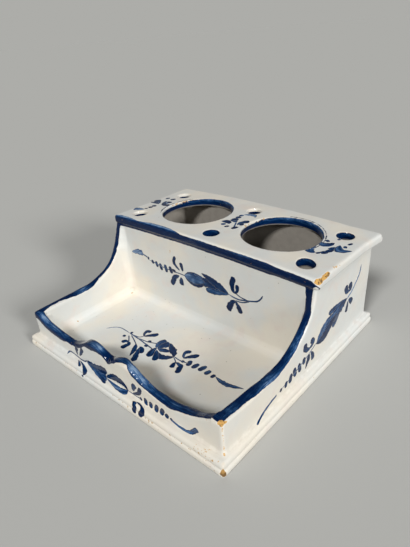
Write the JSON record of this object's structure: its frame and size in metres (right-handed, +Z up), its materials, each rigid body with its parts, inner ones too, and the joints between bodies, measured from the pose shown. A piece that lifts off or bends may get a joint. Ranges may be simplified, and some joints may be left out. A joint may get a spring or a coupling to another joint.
{
  "type": "ceramic inkwell",
  "caption": "Glazed earthenware desk inkwell: a low pen tray with a lobed front rim before a raised box pierced with round wells for ink pots and small holes for quills.",
  "frame": {"origin": "middle of the base slab's underside, on the surface that the inkwell stands on", "axes": "+Z up; +X to the right-hand side, seen from the pen tray; -Y the front, where the pen tray is"},
  "size_m": [0.21, 0.1959, 0.0805],
  "materials": {
    "white_tin_glaze": "glossy opaque white tin glaze on earthenware",
    "cobalt_painting": "cobalt blue brush painting in the glaze"
  },
  "bodies": {
    "root": {"base_slab": "white_tin_glaze", "foot_moulding_front": "white_tin_glaze", "foot_moulding_back": "white_tin_glaze", "foot_moulding_left": "white_tin_glaze", "foot_moulding_right": "white_tin_glaze", "front_wall": "white_tin_glaze", "side_wall_left": "white_tin_glaze", "side_wall_right": "white_tin_glaze", "riser_wall": "white_tin_glaze", "back_wall": "white_tin_glaze", "top_plate": "white_tin_glaze", "floor_coil_front": "white_tin_glaze", "floor_coil_back": "white_tin_glaze", "floor_coil_left": "white_tin_glaze", "floor_coil_right": "white_tin_glaze", "corner_coil_front_left": "white_tin_glaze", "corner_coil_front_right": "white_tin_glaze", "corner_coil_back_left": "white_tin_glaze", "corner_coil_back_right": "white_tin_glaze"}
  },
  "joints": []
}
